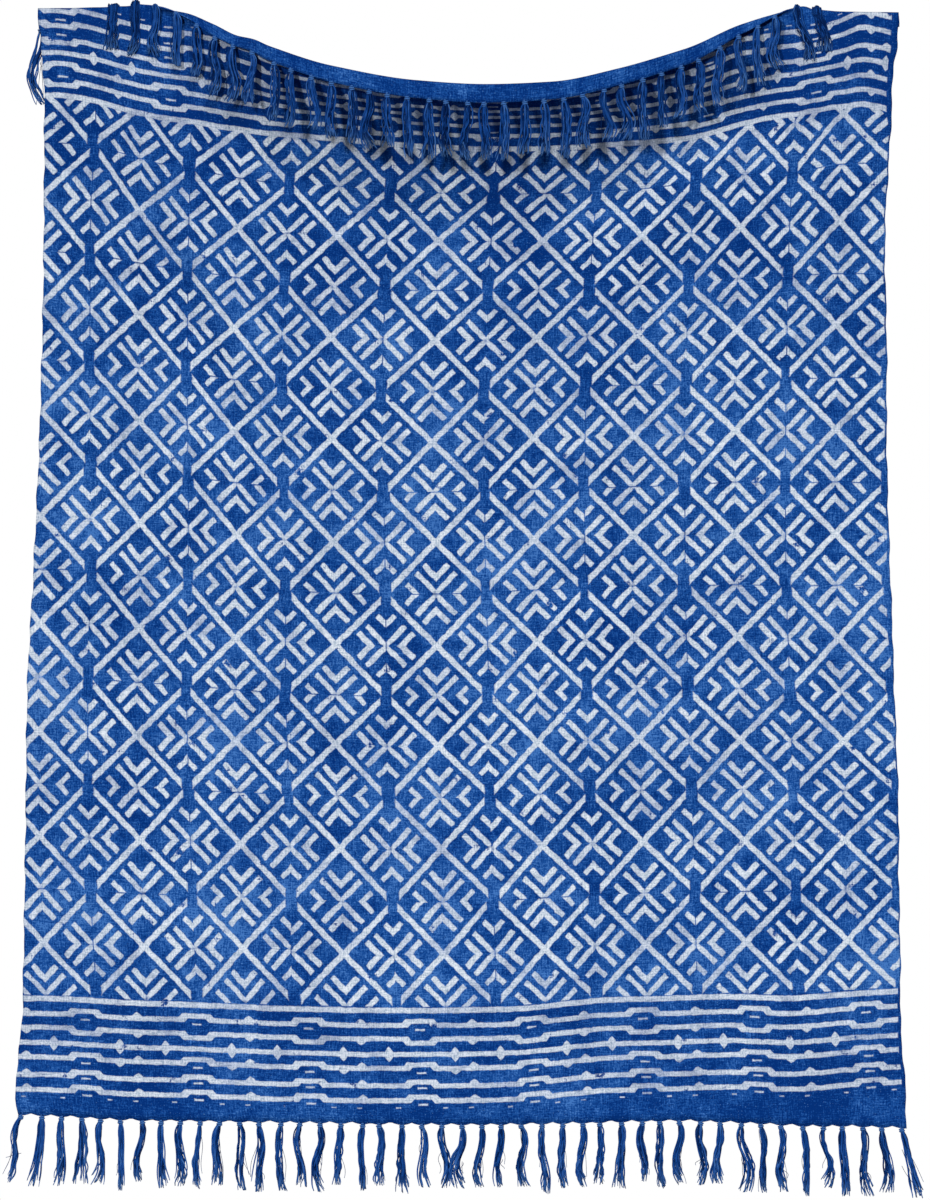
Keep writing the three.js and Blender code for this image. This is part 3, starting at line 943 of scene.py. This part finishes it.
def dyed_cotton(name, ink_strength):
    """Indigo slub cotton with its print at some strength."""
    material = bpy.data.materials.new(name)
    material.use_nodes = True
    tree = material.node_tree
    finish = tree.nodes["Principled BSDF"]
    finish.inputs["Roughness"].default_value = CLOTH_ROUGHNESS
    finish.inputs["Specular IOR Level"].default_value = CLOTH_SHINE
    start = Shade(tree)
    cloth_place = start.stored("cloth_place")
    field_place = start.stored("field_place")
    border_place = start.stored("border_place")

    weft = cloth_place.stretched(SLUB[0], SLUB[1]).cloud(1)
    warp = cloth_place.stretched(SLUB[1], SLUB[0]).cloud(1)
    grain = cloth_place.cloud(*GRAIN)
    woven = weft.swing(SLUB_SWING) + warp.swing(SLUB_SWING) + grain.swing(GRAIN_SWING)
    fray = grain.swing(YARN_FRAY) + cloth_place.cloud(*PASTE_LUMP).swing(PASTE_FRAY) - PASTE_SPREAD

    field = field_print(field_place, fray)
    border = border_print(border_place, cloth_place, fray)
    _, past, clear = border_place.parts()
    across_place, length_place, print_end = cloth_place.parts()
    uneven_dye = cloth_place.cloud(*VAT).swing(VAT_SWING) + cloth_place.cloud(*MOTTLE).swing(MOTTLE_SWING)
    in_border = past.ease(*BORDER_LIMITS)
    in_hem = past.ease(*HEM_LIMITS)
    near_top = length_place.ease(*TOP_LIMITS, 1, 0)
    darker = in_border * BORDER_DARKER + in_hem * HEM_DARKER + near_top * (1 - in_hem) * TOP_DARKER
    tone = uneven_dye + woven - darker
    ground = tone.ease(-TONE_REACH, 0).mixed(colour(*INDIGO_DARK), colour(*INDIGO))
    ground = tone.ease(0, TONE_REACH).mixed(ground, colour(*INDIGO_LIGHT))
    specks = cloth_place.cloud(*SPECK).ease(*SPECK_LIMITS, 0, SPECK_STRENGTH)
    ground = specks.mixed(ground, colour(*LIGHT_YARN))

    marks = field.most(past + clear).least(border).most(across_place - print_end)
    fade = cloth_place.cloud(*FADE).ease(*FADE_LIMITS, FADE_LEAST, 1)
    fade = fade * cloth_place.cloud(*THIN).ease(*THIN_LIMITS, THIN_LEAST, 1)
    fade = fade - in_border * BORDER_WORN - near_top * TOP_WORN
    patch = (cloth_place.cloud(*PATCH) + woven * PATCH_FRAY).ease(*PATCH_LIMITS)
    ink = marks.ease(-EDGE_SOFTNESS, EDGE_SOFTNESS, 1, 0) * fade * patch
    pale = woven.ease(*WORN_LIMITS).mixed(colour(*PALE_INK_WORN), colour(*PALE_INK))
    tree.links.new((ink * ink_strength).mixed(ground, pale).socket, finish.inputs["Base Color"])

    weave = {"Strength": WEAVE_STRENGTH, "Distance": WEAVE_HEIGHT, "Height": woven}
    tree.links.new(start.node("ShaderNodeBump", {}, weave).socket, finish.inputs["Normal"])
    return material


cloth.data.materials.append(dyed_cotton("printed_indigo_cotton", PRINT_ON_FACE))
cloth.data.materials.append(dyed_cotton("plain_reverse_of_cotton", GHOST_ON_REVERSE))
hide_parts("throw_cloth")
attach(cloth, "root")

# The top fringe: the warp ends past the hem, drawn together and wound into a knot every three
# centimetres, each bundle left to hang. At the corners it hangs behind the cloth or is flung over it.
TOP_TASSEL = 0.083
# The outermost tassels, left and right: lean outward, bow on the way, and how much longer they are.
TOP_OUTERMOST = [(0.003, -0.026, 0.034), (-0.014, -0.012, 0)]
TASSEL_UNEVEN = 0.008
SWAY = 0.005
# Tassels drawn outward: by how much, at what distance from the selvedge, and over what reach.
TOP_FLARE = (0.024, 0.140, 0.030)
# Half spread of a bundle, its two bends, and its trend behind the corners. Tassels flung over the front
# rest on the cloth, and their yarns are darkened as painted shade.
TOP_BUNDLE = 0.0042
TOP_BENDS = (0.008, 0.0042)
BACK_TREND = 0.008
FLUNG_WITHIN = 0.545
FLUNG_LIFT = 0.0015
FLUNG_PAINTED_SHADE = 0.35
FLUNG_START = 0.005
# Yarns of a tassel: how uneven they are, how they spread below the neck, and how the locks part.
YARNS = 15
YARN_SIDES = 5
YARN_STEPS = 22
YARN_RADIUS = 0.0013
YARN_THICKNESS = (0.7, 1.15)
YARN_START = 0.001
YARN_SHORTER = 0.16
YARN_WAVE = 0.0021
YARN_WAVES = (1.5, 4.0)
TIP_POWER = 8
NECK_HALF = 0.0013
BUNDLE_OPEN = 0.14
BUNDLE_DEPTH = 0.75
BUNDLE_REACH = 1.5
LOCK_SPLAY = 0.0034
LOCKS = 2
THICK_LOCKS = 3
THICK_EVERY = 4
# The knot: a yarn wound about the neck, from a little above it.
KNOT_START = -0.0015
KNOT_END = 0.0064
KNOT_TURNS = 3
KNOT_STEPS = 30
KNOT_RADIUS = 0.0012
KNOT_BULGE = 0.0024
# The knots' lighter tone is painted light.
KNOT_PAINTED_LIGHT = 1.4
# Stray fibres of a tassel: between which shares of it they begin and end, and how far they stand off.
STRAYS = 3
STRAY_BEGIN = (0, 0.6)
STRAY_END = (0.6, 1)
STRAY_RADIUS = 0.0004
STRAY_OUT = 0.010
STRAY_CURL = STRAY_OUT / 3
STRAY_FORWARD = STRAY_OUT / 2
STRAY_WAVES = 7
# Colours of the yarn, its twist, and how its own tone, its patches and its plies make it darker or paler.
# The tone also holds painted light on the knots and painted shade on flung tassels, and the plies add
# painted shade in the grooves between them and a painted highlight on their crowns.
INDIGO_YARN_DARK = (5, 33, 84)
INDIGO_YARN = (22, 72, 147)
INDIGO_YARN_LIGHT = (84, 132, 194)
YARN_ROUGHNESS = 0.95
PLY_TWIST = 1.4
PLY_HEIGHT = 0.0005
PLY_STRENGTH = 0.6
YARN_PATCH = 14
YARNS_APART = 97
OWN_AND_PAINTED_TONE = 0.7
PATCH_TONE = 0.9
PLY_GROOVE_SHADE = 0.3
DYED_LIMITS = (0, 0.4)
PALER_LIMITS = (0.45, 1)
PALER_MOST = 0.6
WORN_END = (0.75, 1)
# The way along both edges, from left to right.
SIDEWAYS = np.array((1.0, 0.0, 0.0))


def unit(vectors):
    return vectors / np.linalg.norm(vectors, axis=-1, keepdims=True)


def top_path(across, drop):
    """Points down the tassels of the top edge, from how far down each they are."""
    hung = place(across, -top_hem(across) - drop)
    back = turn(across) < 0
    hung[..., 1] += np.where(back, BACK_TREND * drop / TOP_TASSEL, 0)
    over = drop - FLUNG_START
    flung = place(across, over) - backward(across, over) * FLUNG_LIFT
    return np.where(is_flung(across)[:, None], flung, hung) - crest()


def is_flung(across):
    return (turn(across) < 0) & (np.abs(across) < FLUNG_WITHIN)


def tubes(paths, radius, reference, tone):
    """Round yarns along paths: points, faces, and what their material reads at each point."""
    steps, count, _ = paths.shape
    along = unit(np.gradient(paths, axis=0))
    first = unit(reference - (reference * along).sum(-1, keepdims=True) * along)
    second = np.cross(along, first)
    angle = np.arange(YARN_SIDES) * 2 * np.pi / YARN_SIDES
    around = np.stack((np.cos(angle), np.sin(angle)), -1)
    ring = around[:, None, None, :1] * first + around[:, None, None, 1:] * second
    points = paths + ring * radius[..., None]
    gone = np.linalg.norm(np.diff(paths, axis=0, prepend=paths[:1]), axis=-1).cumsum(0) * MM
    grid = np.arange(YARN_SIDES * steps * count).reshape(YARN_SIDES, steps, count)
    turned = np.roll(grid, -1, 0)
    sides = np.stack((grid[:, :-1], turned[:, :-1], turned[:, 1:], grid[:, 1:]), -1).reshape(-1, 4)
    ends = np.concatenate((grid[::-1, 0].T, grid[:, -1].T))
    share = np.linspace(0, 1, steps)[:, None]
    turns = np.broadcast_arrays(around[:, None, None, 0], around[:, None, None, 1], gone)
    tones = np.broadcast_arrays(tone, share, np.zeros_like(grid))
    return points, sides.tolist() + ends.tolist(), np.stack(turns, -1), np.stack(tones, -1)


def wound_knots(path, across, start):
    """The knots: a yarn wound about the neck of each tassel, lighter in tone as painted light."""
    root, below = path(across, np.array(((KNOT_START,), (KNOT_END,))) + np.zeros(TASSELS))
    axis = unit(below - root)
    first = unit(SIDEWAYS - (axis * SIDEWAYS).sum(-1, keepdims=True) * axis)
    second = np.cross(axis, first)
    winding = np.linspace(0, 1, KNOT_STEPS)[:, None, None]
    wound = 2 * np.pi * KNOT_TURNS * winding + start[:, None] * np.pi
    around = KNOT_RADIUS + KNOT_BULGE * np.sin(np.pi * winding)
    coil = root + (below - root) * winding + around * (np.cos(wound) * first + np.sin(wound) * second)
    return tubes(coil, np.full((KNOT_STEPS, TASSELS), YARN_RADIUS), axis, np.full(TASSELS, KNOT_PAINTED_LIGHT))


def stray_fibres(path, across, full, sideways, chance):
    """Single fibres that have come loose from their tassels."""
    owner = np.repeat(np.arange(TASSELS), STRAYS)
    share = np.linspace(0, 1, YARN_STEPS)[:, None]
    begin = chance.uniform(*STRAY_BEGIN, len(owner))
    end = chance.uniform(*STRAY_END, len(owner))
    lines = path(across[owner], full[owner] * (begin + (end - begin) * share))
    wild = chance.uniform(-1, 1, (4, len(owner)))
    curl = STRAY_CURL * wild[1] * np.sin(STRAY_WAVES * (share + wild[2]))
    aside = STRAY_OUT * wild[0] * share + curl
    lines = lines + (aside + sideways[owner] * share)[..., None] * SIDEWAYS
    lines[..., 1] -= STRAY_FORWARD * np.abs(wild[3]) * share
    return tubes(lines, np.full(lines.shape[:2], STRAY_RADIUS), SIDEWAYS, np.zeros(len(owner)))


def one_piece(name, groups):
    """One object from groups of yarns, with what their material reads."""
    points, faces, turns, tones = [], [], [], []
    for part_points, part_faces, part_turns, part_tones in groups:
        before = sum(len(part) for part in points)
        faces += [[corner + before for corner in face] for face in part_faces]
        points.append(part_points.reshape(-1, 3))
        turns.append(part_turns.reshape(-1, 3))
        tones.append(part_tones.reshape(-1, 3))
    piece = made_mesh(name, np.concatenate(points), faces)
    keep_places(piece, "yarn_turn", *np.concatenate(turns).T)
    keep_places(piece, "yarn_tone", *np.concatenate(tones).T)
    return piece


def knotted_fringe(name, path, seed, tassel_length, outermost, bundle, bends, flare):
    """One edge's tassels: bundles of yarn that part into two or three locks, their knots, and strays."""
    chance = np.random.default_rng(seed)
    number = np.arange(TASSELS)
    across = tassel_places(seed)
    full = tassel_length + TASSEL_UNEVEN * uneven(number, seed + 1)
    from_end = WIDTH / 2 - np.abs(across)
    flare_out, flare_at, flare_reach = flare
    drawn = flare_out * np.exp(-np.abs(from_end - flare_at) / flare_reach)
    sideways = SWAY * uneven(number, seed + 2) + drawn * np.sign(across)
    start = uneven(number, seed + 3)
    bend = bends[0] * uneven(number, seed + 4)
    for which, (lean_out, bow, longer) in zip((0, -1), outermost):
        sideways[which] = lean_out
        bend[which] = bow
        full[which] += longer
    second_bend = bends[1] * uneven(number, seed + 5)
    locks = np.where(number % THICK_EVERY == 1, THICK_LOCKS, LOCKS)
    share = np.linspace(0, 1, YARN_STEPS)[:, None]

    tassel = np.repeat(number, YARNS)
    count = len(tassel)
    shorter = YARN_SHORTER * chance.uniform(0, 1, count) ** 2
    lines = path(across[tassel], YARN_START + (full[tassel] * (1 - shorter) - YARN_START) * share)
    outward = np.cross(unit(np.gradient(lines, axis=0)), SIDEWAYS)
    opened = np.minimum(share / BUNDLE_OPEN, 1)
    spread = NECK_HALF + (bundle - NECK_HALF) * eased(opened)
    scatter = chance.normal(0, 1, (2, count))
    scatter *= np.minimum(BUNDLE_REACH / np.linalg.norm(scatter, axis=0), 1)
    lock = np.tile(np.arange(YARNS), TASSELS) % locks[tassel]
    angle = lock * 2 * np.pi / locks[tassel] + start[tassel] / 2
    parted = LOCK_SPLAY * (1 + start[tassel]) * share**2
    waves = 2 * np.pi * chance.uniform(*YARN_WAVES, (2, count)) * share[:, None]
    swing = YARN_WAVE * chance.uniform(0, 1, (2, count)) * np.sqrt(share)[:, None]
    kink = swing * np.sin(waves + chance.uniform(0, 2 * np.pi, (2, count)))
    curve = (sideways[tassel] + bend[tassel] * np.sin(np.pi * share)) * share
    curve = curve + second_bend[tassel] * np.sin(2 * np.pi * share)
    aside = scatter[0] * spread + np.cos(angle) * parted + kink[:, 0] + curve
    deep = (scatter[1] * spread + np.sin(angle) * parted) * BUNDLE_DEPTH + kink[:, 1]
    flung = is_flung(across)[tassel] & (path is top_path)
    deep = np.where(flung, np.abs(deep), deep)
    lines = lines + aside[..., None] * SIDEWAYS + deep[..., None] * outward
    radius = YARN_RADIUS * (1 - share**TIP_POWER / 2) * chance.uniform(*YARN_THICKNESS, count)
    # Yarns of tassels flung over the front get a darker tone: painted shade.
    yarns = tubes(lines, radius, SIDEWAYS, chance.uniform(0, 1, count) * np.where(flung, FLUNG_PAINTED_SHADE, 1))
    knots = wound_knots(path, across, start)
    strays = stray_fibres(path, across, full, sideways, chance)
    return one_piece(name, (yarns, knots, strays))


def dyed_yarn():
    """Two-ply indigo cotton yarn, some of it dyed lighter, and worn pale at its cut end. Its plies get
    painted shade in their grooves and a painted highlight on their crowns, and its tone carries painted
    light on the knots and painted shade on flung tassels.
    """
    material = bpy.data.materials.new("indigo_warp_yarn")
    material.use_nodes = True
    tree = material.node_tree
    finish = tree.nodes["Principled BSDF"]
    finish.inputs["Roughness"].default_value = YARN_ROUGHNESS
    finish.inputs["Specular IOR Level"].default_value = CLOTH_SHINE
    start = Shade(tree)
    cosine, sine, along = start.stored("yarn_turn").parts()
    tone, share, _ = start.stored("yarn_tone").parts()
    twist = along * PLY_TWIST
    ply = abs(sine * twist.cosine() + cosine * twist.sine())
    patch = along.joined(tone * YARNS_APART).cloud(YARN_PATCH)
    # The plies add painted shade in the grooves between them and a painted highlight on their crowns.
    tone_and_groove_shade = tone * OWN_AND_PAINTED_TONE + patch.swing(PATCH_TONE) + ply.swing(PLY_GROOVE_SHADE)
    shade = tone_and_groove_shade.ease(*DYED_LIMITS).mixed(colour(*INDIGO_YARN_DARK), colour(*INDIGO_YARN))
    paler = tone_and_groove_shade.ease(*PALER_LIMITS, 0, PALER_MOST).most(share.ease(*WORN_END) * patch)
    tree.links.new(paler.mixed(shade, colour(*INDIGO_YARN_LIGHT)).socket, finish.inputs["Base Color"])
    plies = {"Strength": PLY_STRENGTH, "Distance": PLY_HEIGHT, "Height": ply}
    tree.links.new(start.node("ShaderNodeBump", {}, plies).socket, finish.inputs["Normal"])
    return material


indigo_yarn = dyed_yarn()
top_fringe = knotted_fringe(
    "top_fringe_tassels", top_path, TOP_SEED, TOP_TASSEL, TOP_OUTERMOST, TOP_BUNDLE, TOP_BENDS, TOP_FLARE
)
top_fringe.data.materials.append(indigo_yarn)
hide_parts("top_fringe")
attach(top_fringe, "root")

# The bottom fringe: the same knotted warp ends at the lower edge, a little longer, hanging free below
# the cloth with the outermost tassels leaning out.
BOTTOM_TASSEL = 0.095
BOTTOM_OUTERMOST = [(-0.017, 0, 0), (0.024, 0, 0)]
BOTTOM_BUNDLE = 0.0033
BOTTOM_BENDS = (0.009, 0.0048)
BOTTOM_FLARE = (0.014, 0.0, 0.08)


def bottom_path(across, drop):
    """Points straight down the tassels of the bottom edge."""
    edge = place(across, lower_edge(across)[None] + SCALLOP)[0] - crest()
    return edge - drop[..., None] * np.array((0, 0, 1))


bottom_fringe = knotted_fringe(
    "bottom_fringe_tassels",
    bottom_path,
    BOTTOM_SEED,
    BOTTOM_TASSEL,
    BOTTOM_OUTERMOST,
    BOTTOM_BUNDLE,
    BOTTOM_BENDS,
    BOTTOM_FLARE,
)
bottom_fringe.data.materials.append(indigo_yarn)
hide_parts("bottom_fringe")
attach(bottom_fringe, "root")
